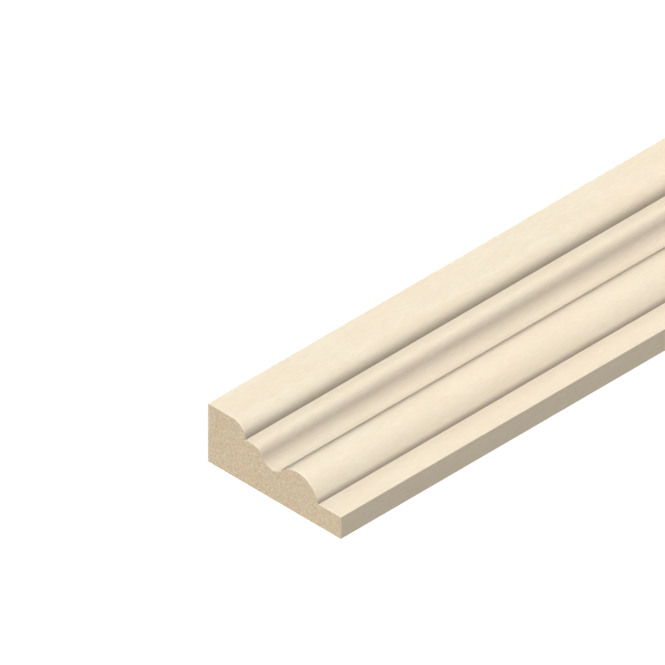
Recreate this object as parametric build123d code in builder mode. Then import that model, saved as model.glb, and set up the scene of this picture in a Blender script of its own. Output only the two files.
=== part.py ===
from build123d import *
import os
from math import acos, cos, degrees, radians, sin, sqrt

# One length of barrel moulding, machined from a single strip of pale hardwood.
# It lies on its flat back. Sizes are in millimetres.
# X runs across the section from the thick edge to the thin edge, Y along the length, Z up from the back.
# The profile is cut into the face, so every depth is measured down from the face.

# The strip
length = 2400.0
thickness = 8.0

# The shoulder and its ovolo, the large rounded corner
shoulder_width = 3.85
ovolo_radius = 2.1
step_depth = 2.0

# The fillet, the small flat at the ovolo's foot
fillet_width = 1.15

# The bead that rounds over from the fillet and runs on into the cove, the hollow
bead_radius = 1.6
cove_radius = 1.8
cove_depth = 3.98
cove_rise = 0.85

# The quirk, the fine drop between the cove's edge and the barrel
quirk_depth = 0.15

# The barrel, the large round that names the moulding
barrel_radius = 3.4
crown_depth = 2.3

# The lip, the thin flat margin beside the barrel
lip_width = 3.57
lip_depth = 5.0

# The eased corners of the four outer long edges
arris_radius = 0.15


def turn(drop, radius):
    """The angle that an arc starting level has turned once it has fallen by drop."""
    return degrees(acos(1 - drop / radius))


def run(drop, radius):
    """How far across the section that arc has come by then."""
    return sqrt(drop * (2 * radius - drop))


# The bead and the cove meet in line, so they fall together like one arc of their joined radii.
ogee_drop = cove_depth - step_depth
ogee_radius = bead_radius + cove_radius

# The barrel springs from the quirk's floor, and falls from its crown to the lip.
spring_depth = cove_depth - cove_rise + quirk_depth
spring_rise = spring_depth - crown_depth
flank_drop = lip_depth - crown_depth

width = (
    shoulder_width
    + run(step_depth, ovolo_radius)
    + fillet_width
    + run(ogee_drop, ogee_radius)
    + run(cove_rise, cove_radius)
    + run(spring_rise, barrel_radius)
    + run(flank_drop, barrel_radius)
    + lip_width
)

# The far end of the strip, seen from the near end, with the section centred across X.
far_end = Plane(origin=(-width / 2, length / 2, 0), x_dir=(1, 0, 0), z_dir=(0, -1, 0))

with BuildPart() as barrel_moulding:
    with BuildSketch(far_end) as section:
        with BuildLine():
            shoulder = Line((0, thickness), (shoulder_width, thickness))
            ovolo = JernArc(shoulder @ 1, shoulder % 1, ovolo_radius, -turn(step_depth, ovolo_radius))
            fillet_flat = Line(ovolo @ 1, ovolo @ 1 + Vector(fillet_width, 0))

            ogee_turn = turn(ogee_drop, ogee_radius)
            bead = JernArc(fillet_flat @ 1, fillet_flat % 1, bead_radius, -ogee_turn)
            cove_turn = ogee_turn + turn(cove_rise, cove_radius)
            cove = JernArc(bead @ 1, bead % 1, cove_radius, cove_turn)
            quirk = Line(cove @ 1, cove @ 1 - Vector(0, quirk_depth))

            spring_turn = turn(spring_rise, barrel_radius)
            spring = Vector(cos(radians(spring_turn)), sin(radians(spring_turn)))
            barrel_turn = spring_turn + turn(flank_drop, barrel_radius)
            barrel = JernArc(quirk @ 1, spring, barrel_radius, -barrel_turn)
            lip = Line(barrel @ 1, barrel @ 1 + Vector(lip_width, 0))

            thin_edge = Line(lip @ 1, (width, 0))
            back = Line(thin_edge @ 1, (0, 0))
            thick_edge = Line(back @ 1, shoulder @ 0)
        make_face()
        across = section.vertices().group_by(Axis.X)
        fillet(across[0] + across[-1], radius=arris_radius)
    extrude(amount=length)

barrel_moulding.part.label = "barrel_moulding"
print("section", round(width, 2), "by", thickness, "mm, volume", round(barrel_moulding.part.volume))

os.makedirs("parts", exist_ok=True)
export_step(barrel_moulding.part, "parts/barrel_moulding.step")
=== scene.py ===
# %% [markdown]
# A length of barrel moulding, dressed for its picture. On the real object one strip of pale,
# close-grained hardwood is planed on four sides and run past shaped cutters, so every line along
# it is dead straight, and the whole design is in its section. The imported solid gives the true
# size and place. This lesson reads its box, draws the same section again with finer arcs, sweeps
# it along the strip, and then spends its effort on light and on the two surfaces that timber
# shows: planed long faces and sawn ends.

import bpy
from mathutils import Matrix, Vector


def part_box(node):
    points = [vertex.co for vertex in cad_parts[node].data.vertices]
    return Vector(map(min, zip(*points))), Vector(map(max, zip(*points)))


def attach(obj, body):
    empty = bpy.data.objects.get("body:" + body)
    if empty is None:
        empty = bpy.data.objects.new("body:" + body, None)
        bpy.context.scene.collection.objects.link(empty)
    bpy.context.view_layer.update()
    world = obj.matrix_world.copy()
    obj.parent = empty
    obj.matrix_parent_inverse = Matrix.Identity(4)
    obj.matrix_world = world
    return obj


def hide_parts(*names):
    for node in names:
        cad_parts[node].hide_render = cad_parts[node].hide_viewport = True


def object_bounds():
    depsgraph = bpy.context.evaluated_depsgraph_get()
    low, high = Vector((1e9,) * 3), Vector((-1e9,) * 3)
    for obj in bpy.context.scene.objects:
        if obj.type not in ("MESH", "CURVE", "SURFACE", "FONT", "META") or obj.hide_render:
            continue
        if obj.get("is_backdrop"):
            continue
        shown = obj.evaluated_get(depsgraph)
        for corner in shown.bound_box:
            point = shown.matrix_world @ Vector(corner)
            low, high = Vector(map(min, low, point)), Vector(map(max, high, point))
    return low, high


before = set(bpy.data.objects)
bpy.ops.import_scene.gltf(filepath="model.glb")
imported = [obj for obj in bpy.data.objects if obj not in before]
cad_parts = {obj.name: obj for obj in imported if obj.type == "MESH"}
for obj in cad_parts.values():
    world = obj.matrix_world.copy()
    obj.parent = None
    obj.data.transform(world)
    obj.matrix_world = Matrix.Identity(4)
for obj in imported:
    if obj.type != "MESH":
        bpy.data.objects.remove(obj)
cad_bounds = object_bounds()
low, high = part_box("barrel_moulding")
print("solid from", tuple(low), "to", tuple(high))

# %% Blender's own modules
from math import acos, cos, degrees, pi, radians, sin

import bpy
from mathutils import Vector

scene = bpy.context.scene
MM = 0.001

# %% [markdown]
# The section, read from the thick edge to the thin edge, is a flat shoulder, an ovolo (a quarter
# round), a narrow flat fillet, a bead that runs over into a cove, a hairline drop called a quirk,
# the barrel, and a flat lip. It could be traced from points, but a machinist sets a cutter by
# radii and depths, so the same numbers are used here. The length, thickness and full width come
# from the solid, and the lip takes up the width that is left. The long outer edges are drawn a
# little crisper than the solid's, because they look sharp in the picture.

# %% Sizes of the section, in millimetres
length = (high.y - low.y) / MM
thickness = (high.z - low.z) / MM
width = (high.x - low.x) / MM

shoulder_width = 3.85
ovolo_radius = 2.1
step_depth = 2.0
fillet_width = 1.15
bead_radius = 1.6
cove_radius = 1.8
cove_depth = 3.98
cove_rise = 0.85
quirk_depth = 0.15
barrel_radius = 3.4
crown_depth = 2.3
lip_depth = 5.0
arris_radius = 0.08


def turn(drop, radius):
    """The angle in degrees that an arc starting level has turned once it has fallen by drop."""
    return degrees(acos(1 - drop / radius))


ogee_turn = turn(cove_depth - step_depth, bead_radius + cove_radius)
cove_turn = turn(cove_rise, cove_radius)
spring_depth = cove_depth - cove_rise + quirk_depth
spring_turn = turn(spring_depth - crown_depth, barrel_radius)
flank_turn = turn(lip_depth - crown_depth, barrel_radius)
print("section", round(width, 3), "by", round(thickness, 3), "mm, strip", round(length), "mm long")

# %% [markdown]
# A pen that walks round the section makes the outline: it goes straight, or turns on an arc, and
# leaves points behind. Arcs get a point every few degrees. Each straight also gets a holding
# point close to both of its ends, so that the soft shading of an arc stops where the arc stops
# and the flats stay flat to the eye. The pen also notes how much shade is painted on each point:
# the steep flanks and the hollows are painted darker, as if shade fell there. Painting it by
# hand would do, but a value per point, swelling along each arc from one amount to the next,
# stays true all along the strip.

# %% A pen for the outline
ARC_STEP = 3.5
HOLD = 0.12


class Pen:
    """Walks an outline in millimetres. Heading 0 goes across to the thin edge, and a turn to the
    left is positive."""

    def __init__(self, x, z):
        self.x, self.z, self.heading = x, z, 0.0
        # Each point also keeps how much shade is painted on it.
        self.points, self.painted_shade = [(x, z)], [0.0]

    def step(self, distance, painted_shade=0.0):
        self.x += distance * cos(radians(self.heading))
        self.z += distance * sin(radians(self.heading))
        self.points.append((self.x, self.z))
        self.painted_shade.append(painted_shade)

    def straight(self, distance, painted_shade=0.0):
        hold = min(HOLD, distance / 3)
        for part in (hold, distance - 2 * hold, hold):
            self.step(part, painted_shade)

    def arc(self, radius, angle, painted_shade=lambda turned: 0.0):
        """The last argument gives the painted shade at a share, 0 to 1, of the way round the arc."""
        count = max(3, round(abs(angle) / ARC_STEP))
        chord = 2 * radius * sin(radians(abs(angle) / count / 2))
        for k in range(count):
            self.heading += angle / count / 2
            self.step(chord, painted_shade((k + 1) / count))
            self.heading += angle / count / 2


def swell(start, end, begin=0.0, finish=1.0):
    """Painted shade that goes smoothly from start to end between two shares of an arc."""
    def value(turned):
        share = min(1.0, max(0.0, (turned - begin) / (finish - begin)))
        return start + (end - start) * share * share * (3 - 2 * share)
    return value


# %% How much shade is painted on the section, and which share of an arc stays unshaded
OVOLO_FOOT_SHADE, OVOLO_UNSHADED = 0.75, 0.5
OGEE_FLANK_SHADE, BEAD_UNSHADED = 0.5, 0.1
COVE_FLOOR_SHADE = 0.08
QUIRK_WALL_SHADE = 0.15
BARREL_SPRING_SHADE, SPRING_UNSHADED = 0.8, 0.3
BARREL_FOOT_SHADE, BARREL_UNSHADED = 0.85, 0.8

# %% Walk round the section
pen = Pen(arris_radius, thickness)
pen.straight(shoulder_width - arris_radius)
pen.arc(ovolo_radius, -turn(step_depth, ovolo_radius), swell(0, OVOLO_FOOT_SHADE, OVOLO_UNSHADED))
pen.heading = 0
pen.straight(fillet_width)
pen.arc(bead_radius, -ogee_turn, swell(0, OGEE_FLANK_SHADE, BEAD_UNSHADED))
pen.arc(cove_radius, ogee_turn, swell(OGEE_FLANK_SHADE, COVE_FLOOR_SHADE))
pen.arc(cove_radius, cove_turn, swell(COVE_FLOOR_SHADE, 0))
pen.heading = -90
pen.straight(quirk_depth, QUIRK_WALL_SHADE)
pen.heading = spring_turn
pen.arc(barrel_radius, -spring_turn, swell(BARREL_SPRING_SHADE, 0, 0, 1 - SPRING_UNSHADED))
pen.arc(barrel_radius, -flank_turn, swell(0, BARREL_FOOT_SHADE, BARREL_UNSHADED))
pen.heading = 0
lip_width = width - pen.x
pen.straight(lip_width - arris_radius)
for side in (thickness - lip_depth, width, thickness):
    pen.arc(arris_radius, -90)
    pen.straight(side - 2 * arris_radius)
pen.arc(arris_radius, -90)
outline = pen.points[:-1]
# The painted shade of each point of the outline.
painted_shade = pen.painted_shade[:-1]
left_open = abs(pen.x - arris_radius) + abs(pen.z - thickness)
print(len(outline), "points, closing within", round(left_open, 6), "mm")

# %% [markdown]
# The strip is the outline carried along its length, like a rod through a die. A curve with a
# bevel profile would do it, but a mesh built ring by ring leaves every face where it is wanted,
# closes the ends with real faces, and lets the ends be eased by a hair, as one stroke of
# sandpaper leaves them. The rings crowd together at the ends, where the easing is, and a last
# close one keeps its soft shading from running on along the flats.

# %% Which way each outline point faces
END_EASE = 0.03
MITRE_LIMIT = 1.4


def inward(index):
    """How far and which way a point of the outline moves for each millimetre that it shrinks."""
    before, here, after = (Vector(outline[(index + k) % len(outline)]) for k in (-1, 0, 1))
    first, second = (here - before).normalized(), (after - here).normalized()
    out_first, out_second = Vector((-first.y, first.x)), Vector((-second.y, second.x))
    mitre = (out_first + out_second) / (1 + out_first.dot(out_second))
    if mitre.length > MITRE_LIMIT:
        mitre = mitre.normalized() * MITRE_LIMIT
    return -mitre


shrink = [inward(index) for index in range(len(outline))]

# %% The rings along the strip
RING_SPACING = 20.0
END_HOLD = 0.2
EASE_STEPS = 3

ease_angles = [radians(90 * k / EASE_STEPS) for k in range(EASE_STEPS, -1, -1)]
eased = [(END_EASE * (1 - sin(a)), END_EASE * (1 - cos(a))) for a in ease_angles]
plain_count = round(length / RING_SPACING)
plain_rings = [(length * k / plain_count, 0.0) for k in range(1, plain_count)]
plain_rings = [(END_HOLD, 0.0)] + plain_rings + [(length - END_HOLD, 0.0)]
rings = eased + plain_rings + [(length - along, inset) for along, inset in reversed(eased)]

vertices = []
for along, inset in rings:
    for (x, z), pull in zip(outline, shrink):
        point = Vector((x + pull.x * inset, along, z + pull.y * inset)) * MM
        vertices.append(low + point)

# %% The faces between them
around = len(outline)
long_faces = []
for ring in range(len(rings) - 1):
    for k in range(around):
        a, b = ring * around + k, ring * around + (k + 1) % around
        long_faces.append((a, b, b + around, a + around))
near_end = tuple(reversed(range(around)))
far_end = tuple(range(len(vertices) - around, len(vertices)))

# %% The moulding as one mesh
CREASE_ANGLE = 35.0
PLANED, SAWN = 0, 1

mesh = bpy.data.meshes.new("barrel_moulding_skin")
mesh.from_pydata(vertices, [], long_faces + [near_end, far_end])
mesh.polygons.foreach_set("material_index", [PLANED] * len(long_faces) + [SAWN, SAWN])
mesh.set_sharp_from_angle(angle=radians(CREASE_ANGLE))
mesh.polygons.foreach_set("use_smooth", [True] * len(long_faces) + [False, False])
# Each point's painted shade rides on the mesh, for the material to read.
painted_shade_points = mesh.attributes.new("painted_shade", "FLOAT", "POINT")
painted_shade_points.data.foreach_set("value", painted_shade * len(rings))
mesh.update()
print("faces flipped:", mesh.validate(verbose=True), "faces", len(mesh.polygons))

moulding = bpy.data.objects.new("moulding_strip", mesh)
scene.collection.objects.link(moulding)

# %% [markdown]
# The camera looks down on the near end from in front and to the right, so that the sawn end, the
# profiled face and the thin edge all show. In the picture the long lines run very nearly
# parallel, as through a long lens. A camera without perspective draws them parallel, and it also
# keeps its close framing when the strip is seen from other sides, where a long lens would have to
# back away until a 2.4 m strip is a hair. It is aimed by one corner: the bottom corner of the
# thick edge at the near end, at its pixel in the picture.

# %% The camera
PICTURE = 665
CORNER_PIXEL = (207.97, 461.48)
PIXELS_PER_MM = 8.959
CAMERA_AZIMUTH = 45.08
CAMERA_ELEVATION = 35.68
CAMERA_DISTANCE = 1.0

azimuth, elevation = radians(CAMERA_AZIMUTH), radians(CAMERA_ELEVATION)
right = Vector((cos(azimuth), sin(azimuth), 0))
back = Vector((sin(azimuth) * cos(elevation), -cos(azimuth) * cos(elevation), sin(elevation)))
up = back.cross(right)
to_right = (PICTURE / 2 - CORNER_PIXEL[0]) / PIXELS_PER_MM * MM
to_top = (CORNER_PIXEL[1] - PICTURE / 2) / PIXELS_PER_MM * MM

lens = bpy.data.cameras.new("camera")
lens.type = "ORTHO"
lens.ortho_scale = PICTURE / PIXELS_PER_MM * MM
lens.clip_start, lens.clip_end = 0.01, 20.0
camera = bpy.data.objects.new("camera", lens)
camera.location = low + right * to_right + up * to_top + back * CAMERA_DISTANCE
camera.rotation_mode = "QUATERNION"
camera.rotation_quaternion = (-back).to_track_quat("-Z", "Y")
scene.collection.objects.link(camera)
scene.camera = camera
scene.view_settings.view_transform = "Standard"
print("frame is", round(lens.ortho_scale / MM, 2), "mm wide")

# %% [markdown]
# Node trees are built by a few short helpers, so that each material reads as a recipe. A helper
# adds a node, sets its plain values, and joins whatever is given for its sockets.

# %% Helpers for nodes
def fill(tree, socket, value):
    """Gives an input socket a plain value, or joins another node's output to it."""
    if isinstance(value, bpy.types.NodeSocket):
        tree.links.new(value, socket)
    else:
        socket.default_value = value


def add(tree, kind, inputs=(), **settings):
    """Adds a node. inputs maps a socket's name or number to a value or to another node's output."""
    node = tree.nodes.new(kind)
    for name, value in settings.items():
        setattr(node, name, value)
    for name, value in dict(inputs).items():
        fill(tree, node.inputs[name], value)
    return node


def maths(tree, operation, first, second=0.0):
    """One sum on two values or sockets."""
    return add(tree, "ShaderNodeMath", {0: first, 1: second}, operation=operation).outputs[0]


def blend_colours(tree, amount, first, second, way="MIX"):
    """Goes from the first colour to the second by amount. way is how the second one is laid on."""
    node = add(tree, "ShaderNodeMix", data_type="RGBA", blend_type=way)
    for name, value in (("Factor_Float", amount), ("A_Color", first), ("B_Color", second)):
        fill(tree, next(s for s in node.inputs if s.identifier == name), value)
    return next(s for s in node.outputs if s.identifier == "Result_Color")


def spread_out(tree, value, low_in, high_in, low_out=0.0, high_out=1.0):
    """Stretches a value's range, and stops it at both ends."""
    sockets = {"Value": value, "From Min": low_in, "From Max": high_in}
    sockets.update({"To Min": low_out, "To Max": high_out})
    return add(tree, "ShaderNodeMapRange", sockets).outputs["Result"]


def looked_at(tree):
    """1 where a surface is seen, directly or in a reflection, and 0 where it only passes light on."""
    path = add(tree, "ShaderNodeLightPath")
    seen = maths(tree, "MAXIMUM", path.outputs["Is Camera Ray"], path.outputs["Is Glossy Ray"])
    return maths(tree, "MAXIMUM", seen, path.outputs["Is Transmission Ray"])


def new_material(name):
    """An empty material and its node tree."""
    material = bpy.data.materials.new(name)
    material.use_nodes = True
    material.node_tree.nodes.clear()
    return material, material.node_tree


# %% [markdown]
# The floor is a plain white sweep that runs under the strip. A white floor lit at the level at
# which colours render as written comes out just white, and where the strip keeps light off it, it
# darkens: that is the soft contact shadow. Seen by the camera it is pure white paper with a touch
# of glow, which takes the faint outer part of the shadow away. For the light that bounces back to
# the wood it is a duller card, so that it doesn't wash out the thin edge.

# %% The floor
FLOOR_SIZE = 14.0
PAPER = (1.0, 1.0, 1.0, 1.0)
CARD = (0.35, 0.33, 0.31, 1.0)
PAPER_LIFT = 0.09

floor_material, tree = new_material("floor")
seen = looked_at(tree)
paper = add(tree, "ShaderNodeBsdfDiffuse", {"Color": blend_colours(tree, seen, CARD, PAPER)})
lift = maths(tree, "MULTIPLY", seen, PAPER_LIFT)
glow = add(tree, "ShaderNodeEmission", {"Color": PAPER, "Strength": lift})
lifted = add(tree, "ShaderNodeAddShader", {0: paper.outputs[0], 1: glow.outputs[0]})
add(tree, "ShaderNodeOutputMaterial", {"Surface": lifted.outputs[0]})

half = FLOOR_SIZE / 2
corners = [(-half, -half, 0), (half, -half, 0), (half, half, 0), (-half, half, 0)]
floor_mesh = bpy.data.meshes.new("floor")
floor_mesh.from_pydata(corners, [], [(0, 1, 2, 3)])
floor_mesh.materials.append(floor_material)
floor = bpy.data.objects.new("floor", floor_mesh)
floor.location.z = low.z
scene.collection.objects.link(floor)
floor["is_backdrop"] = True
print("floor", FLOOR_SIZE, "m across, at height", round(low.z, 6))

# %% [markdown]
# The light is a broad lamp in front and overhead, one from the side of the thin edge, a weak one
# from the other side, and a dim dome. Real softboxes would do, but they fall off along a 2.4 m
# strip. A sun lamp with a wide disc is just as soft and lights every centimetre alike. The
# overhead lamp leans a little to the thin edge, so the rounds are brightest just past their tops.
# It comes in two parts: in the picture hardly any light goes on from face to face, which keeps
# the hollows deep, so the larger part gives its first light only, and the fill alone is passed
# on. A last lamp stands nearly level and behind, and lights the thick edge and the far end, which
# the picture hides.

# %% The lamps
def sun(name, lean, forward, level, disc, passed_on=0):
    """A soft sun. lean is how far it leans from overhead to the thin edge, and forward how far it
    comes to the near end, both in degrees. level is what a surface facing it receives, and disc
    its width in degrees. passed_on is how many times its light goes on from face to face."""
    lean, forward = radians(lean), radians(forward)
    towards = Vector((sin(lean) * cos(forward), -sin(forward), cos(lean) * cos(forward)))
    lamp = bpy.data.lights.new(name, "SUN")
    lamp.energy = level * pi
    lamp.angle = radians(disc)
    lamp.cycles.max_bounces = passed_on
    lamp_object = bpy.data.objects.new(name, lamp)
    lamp_object.rotation_mode = "QUATERNION"
    lamp_object.rotation_quaternion = towards.to_track_quat("Z", "Y")
    scene.collection.objects.link(lamp_object)
    print(name, "gives a level face", round(level * towards.z, 3))


sun("front_lamp", lean=18, forward=37, level=0.62, disc=30)
sun("fill_lamp", lean=18, forward=37, level=0.315, disc=30, passed_on=2)
sun("side_lamp", lean=47, forward=15, level=0.22, disc=20)
sun("far_side_lamp", lean=-50, forward=0, level=0.18, disc=20)
sun("back_lamp", lean=-89.3, forward=-45, level=0.50, disc=1)

# %% The dome
DOME_LEVEL = 0.09

world = bpy.data.worlds.new("dome")
scene.world = world
world.use_nodes = True
tree = world.node_tree
tree.nodes.clear()
strength = spread_out(tree, looked_at(tree), 0, 1, DOME_LEVEL, 1.0)
dome = add(tree, "ShaderNodeBackground", {"Color": PAPER, "Strength": strength})
add(tree, "ShaderNodeOutputWorld", {"Surface": dome.outputs[0]})
print("dome gives", DOME_LEVEL)

# %% [markdown]
# Timber's fine structure is a bundle of fibres and small pores that run the length of the strip.
# One 3-D pattern stretched along the strip is true to that: on the long faces it shows as short
# fine streaks, and where the saw cuts across it, it shows as speckle. Both surfaces use it, so it
# is a node group.

# %% A node group with named sockets
def new_group(name, inputs, outputs):
    """A shader node group. inputs gives each socket's type and value, outputs its type."""
    kinds = {"vector": "NodeSocketVector", "value": "NodeSocketFloat"}
    tree = bpy.data.node_groups.new(name, "ShaderNodeTree")
    for socket, (kind, value) in inputs.items():
        made = tree.interface.new_socket(name=socket, in_out="INPUT", socket_type=kinds[kind])
        if value is not None:
            made.default_value = value
    for socket, kind in outputs.items():
        tree.interface.new_socket(name=socket, in_out="OUTPUT", socket_type=kinds[kind])
    return tree, tree.nodes.new("NodeGroupInput").outputs, tree.nodes.new("NodeGroupOutput").inputs


def use_group(tree, group, inputs):
    """Places a node group and gives its outputs."""
    node = tree.nodes.new("ShaderNodeGroup")
    node.node_tree = group
    for name, value in inputs.items():
        fill(tree, node.inputs[name], value)
    return node.outputs


# %% Stretched along the strip
NOISE_TILT = (0.5, 0.7, 0.3)


def stretched(tree, position, lengthwise):
    """Position squeezed along the strip, then tilted, so that the noise's own grid never lines up
    with a face."""
    stretch = add(tree, "ShaderNodeCombineXYZ", {0: 1.0, 1: lengthwise, 2: 1.0}).outputs[0]
    squeezed = add(tree, "ShaderNodeVectorMath", {0: position, 1: stretch}, operation="MULTIPLY")
    tilt = {"Vector": squeezed.outputs[0], "Rotation": NOISE_TILT}
    return add(tree, "ShaderNodeVectorRotate", tilt, rotation_type="EULER_XYZ").outputs[0]


# %% Fibres and pores
# The pattern's cells are PORE_CELL pores wide. A pore is full at its core and gone at its rim,
# both as shares of a cell.
PORE_CELL = 2.0
PORE_CORE, PORE_RIM = 0.15, 0.45

fibres_inputs = {
    "Position": ("vector", None),
    "Fibre Width": ("value", 0.12),
    "Fibre Length": ("value", 3.0),
    "Pore Width": ("value", 0.09),
    "Pore Share": ("value", 0.2),
}
fibres_outputs = {"Fibres": "value", "Pores": "value"}
fibres, given, result = new_group("fibres_and_pores", fibres_inputs, fibres_outputs)
squeeze = maths(fibres, "DIVIDE", given["Fibre Width"], given["Fibre Length"])
along_grain = stretched(fibres, given["Position"], squeeze)
fibre_scale = maths(fibres, "DIVIDE", 1.0, given["Fibre Width"])
fibre_look = {"Vector": along_grain, "Scale": fibre_scale, "Detail": 2.0}
fibre_noise = add(fibres, "ShaderNodeTexNoise", fibre_look)
fibres.links.new(fibre_noise.outputs["Fac"], result["Fibres"])

pore_scale = maths(fibres, "DIVIDE", 1 / PORE_CELL, given["Pore Width"])
pore_cells = add(fibres, "ShaderNodeTexVoronoi", {"Vector": along_grain, "Scale": pore_scale})
near_pore = spread_out(fibres, pore_cells.outputs["Distance"], PORE_CORE, PORE_RIM, 1.0, 0.0)
chance = add(fibres, "ShaderNodeSeparateColor", {"Color": pore_cells.outputs["Color"]}).outputs[0]
chosen = maths(fibres, "LESS_THAN", chance, given["Pore Share"])
fibres.links.new(maths(fibres, "MULTIPLY", near_pore, chosen), result["Pores"])
print(fibres.name, "has", len(fibres.nodes), "nodes")

# %% [markdown]
# Above the fibres there is a slower change: a board is never one colour, but drifts by a shade
# over millimetres and centimetres, a little pinker here and greener there. Both surfaces share
# that as well.

# %% Slow drift of colour
WARMTH_SHIFT = (71.0, 13.0, 37.0)

drift_inputs = {"Position": ("vector", None), "Size": ("value", 3.0), "Stretch": ("value", 6.0)}
drift_outputs = {"Shade": "value", "Warmth": "value"}
drift, given, result = new_group("slow_drift", drift_inputs, drift_outputs)
place = stretched(drift, given["Position"], maths(drift, "DIVIDE", 1.0, given["Stretch"]))
drift_scale = maths(drift, "DIVIDE", 1.0, given["Size"])
shade = add(drift, "ShaderNodeTexNoise", {"Vector": place, "Scale": drift_scale, "Detail": 3.0})
drift.links.new(shade.outputs["Fac"], result["Shade"])
moved = add(drift, "ShaderNodeVectorMath", {0: place, 1: WARMTH_SHIFT}, operation="ADD")
warmth_look = {"Vector": moved.outputs[0], "Scale": drift_scale, "Detail": 1.0}
warmth = add(drift, "ShaderNodeTexNoise", warmth_look)
drift.links.new(warmth.outputs["Fac"], result["Warmth"])
print(drift.name, "has", len(drift.nodes), "nodes")


# %% Places in millimetres, and how far the noise spreads
NOISE_LOW, NOISE_HIGH = 0.3, 0.7


def millimetre_position(tree):
    """The place of a point on the strip, in millimetres."""
    place = add(tree, "ShaderNodeTexCoord").outputs["Object"]
    scaled = add(tree, "ShaderNodeVectorMath", {0: place, "Scale": 1 / MM}, operation="SCALE")
    return scaled.outputs[0]


# %% [markdown]
# The planed faces are smooth, matt and nearly plain. Short fine streaks of fibre and a slow drift
# of colour are all that a bare, sanded hardwood of this kind shows at arm's length. The painted
# shade is multiplied in last: the steep flanks and the hollows are made darker where shade falls,
# and the same timber shows through. Bare timber has hardly any gloss, so the shine is turned down.

# %% Planed timber's colours and the size of its marks, in millimetres
PLANED_PALE = (0.893, 0.793, 0.636, 1.0)
PLANED_DARK = (0.832, 0.716, 0.545, 1.0)
PLANED_PINK = (0.912, 0.770, 0.606, 1.0)
PLANED_GREEN = (0.860, 0.798, 0.640, 1.0)
# The painted shade's colour, multiplied in where shade falls on the flanks and in the hollows.
PAINTED_SHADE_TINT = (0.40, 0.38, 0.40, 1.0)

STREAK = {"Fibre Width": 0.20, "Fibre Length": 1.2}
PATCH = {"Size": 2.2, "Stretch": 3.0}
BOARD = {"Size": 20.0, "Stretch": 2.0}

# %% How strongly each mark shows
TINT_SHARE = 0.7
PATCH_WARMTH, BOARD_WARMTH = 0.4, 0.6
WARMTH_LOW, WARMTH_HIGH = 0.35, 0.65
PATCH_DEPTH, STREAK_DEPTH = 0.4, 0.75
STREAK_RELIEF, STREAK_HEIGHT = 0.5, 0.01 * MM

# %% Planed timber
planed, tree = new_material("planed_timber")
position = millimetre_position(tree)
grain = use_group(tree, fibres, {"Position": position, **STREAK})
patch = use_group(tree, drift, {"Position": position, **PATCH})
board = use_group(tree, drift, {"Position": position, **BOARD})

patch_warmth = maths(tree, "MULTIPLY", patch["Warmth"], PATCH_WARMTH)
board_warmth = maths(tree, "MULTIPLY", board["Warmth"], BOARD_WARMTH)
warmth = maths(tree, "ADD", patch_warmth, board_warmth)
warmth = spread_out(tree, warmth, WARMTH_LOW, WARMTH_HIGH)
tint = blend_colours(tree, warmth, PLANED_GREEN, PLANED_PINK)
wood = blend_colours(tree, TINT_SHARE, PLANED_PALE, tint)

patches = spread_out(tree, patch["Shade"], NOISE_LOW, NOISE_HIGH, 0, PATCH_DEPTH)
streaks = spread_out(tree, grain["Fibres"], NOISE_LOW, NOISE_HIGH, 0, STREAK_DEPTH)
wood = blend_colours(tree, maths(tree, "ADD", patches, streaks), wood, PLANED_DARK)
# The painted shade of each point darkens the timber on the flanks and in the hollows.
painted_shade_amount = add(tree, "ShaderNodeAttribute", attribute_name="painted_shade").outputs["Fac"]
wood = blend_colours(tree, painted_shade_amount, wood, PAINTED_SHADE_TINT, "MULTIPLY")

height = maths(tree, "MULTIPLY", grain["Fibres"], STREAK_RELIEF)
bump = {"Height": height, "Strength": 0.25, "Distance": STREAK_HEIGHT}
relief = add(tree, "ShaderNodeBump", bump)
finish = {"Roughness": 0.7, "Specular IOR Level": 0.35, "Normal": relief.outputs[0]}
skin = add(tree, "ShaderNodeBsdfPrincipled", {"Base Color": wood, **finish})
add(tree, "ShaderNodeOutputMaterial", {"Surface": skin.outputs[0]})

# %% [markdown]
# The sawn end looks straight into the ends of the fibres. It is a browner, duller colour, because
# light sinks in between them, and it is speckled all over with pores and paler fibre ends, a
# tenth or two of a millimetre across.

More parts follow.
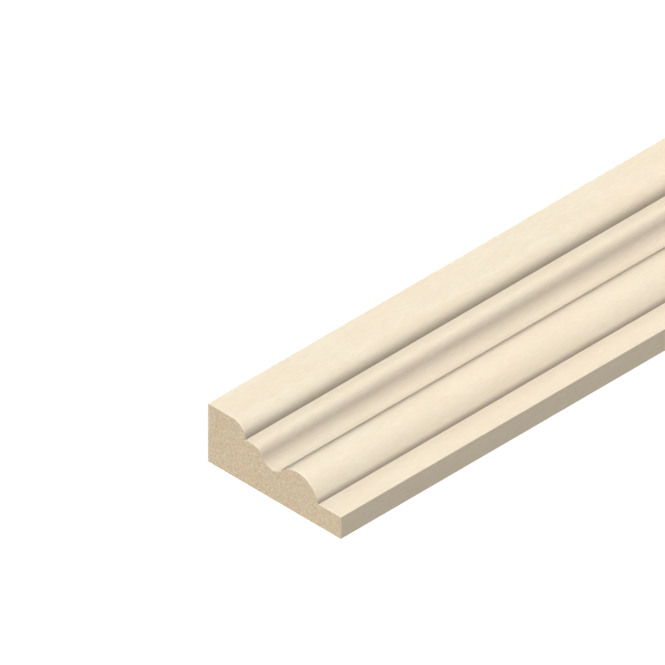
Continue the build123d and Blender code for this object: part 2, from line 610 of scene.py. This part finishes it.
# %% The sawn end's colours and the size of its marks, in millimetres
SAWN_PALE = (1.000, 0.868, 0.660, 1.0)
SAWN_DARK = (0.612, 0.474, 0.312, 1.0)
SAWN_PINK = (0.970, 0.772, 0.542, 1.0)
SAWN_GREEN = (0.930, 0.788, 0.562, 1.0)

SPECKLE = {"Fibre Width": 0.25, "Fibre Length": 4.0, "Pore Width": 0.14, "Pore Share": 0.3}
BLOTCH = {"Size": 1.5, "Stretch": 1.0}
PORE_PALENESS, SPECKLE_DEPTH = 0.8, 0.7
SPECKLE_HEIGHT = 0.02 * MM

# %% Sawn end
sawn, tree = new_material("sawn_end")
position = millimetre_position(tree)
grain = use_group(tree, fibres, {"Position": position, **SPECKLE})
blotch = use_group(tree, drift, {"Position": position, **BLOTCH})

warmth = spread_out(tree, blotch["Warmth"], NOISE_LOW, NOISE_HIGH)
wood = blend_colours(tree, warmth, SAWN_GREEN, SAWN_PINK)
paler = maths(tree, "MULTIPLY", grain["Pores"], PORE_PALENESS)
wood = blend_colours(tree, paler, wood, SAWN_PALE)
darker = spread_out(tree, grain["Fibres"], NOISE_LOW, NOISE_HIGH, 0, SPECKLE_DEPTH)
wood = blend_colours(tree, darker, wood, SAWN_DARK)

height = maths(tree, "SUBTRACT", grain["Pores"], grain["Fibres"])
bump = {"Height": height, "Strength": 0.5, "Distance": SPECKLE_HEIGHT}
relief = add(tree, "ShaderNodeBump", bump)
finish = {"Roughness": 0.85, "Normal": relief.outputs[0]}
skin = add(tree, "ShaderNodeBsdfPrincipled", {"Base Color": wood, **finish})
add(tree, "ShaderNodeOutputMaterial", {"Surface": skin.outputs[0]})

mesh.materials.append(planed)
mesh.materials.append(sawn)
print("the strip wears", [material.name for material in mesh.materials])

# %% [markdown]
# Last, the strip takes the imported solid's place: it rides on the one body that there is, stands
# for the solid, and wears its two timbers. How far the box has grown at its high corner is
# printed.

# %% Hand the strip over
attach(moulding, "root")
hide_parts("barrel_moulding")

new_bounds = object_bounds()
growth = [round((b - a) / MM, 4) for a, b in zip(cad_bounds[1], new_bounds[1])]
print("grown by", growth, "mm at the high corner")
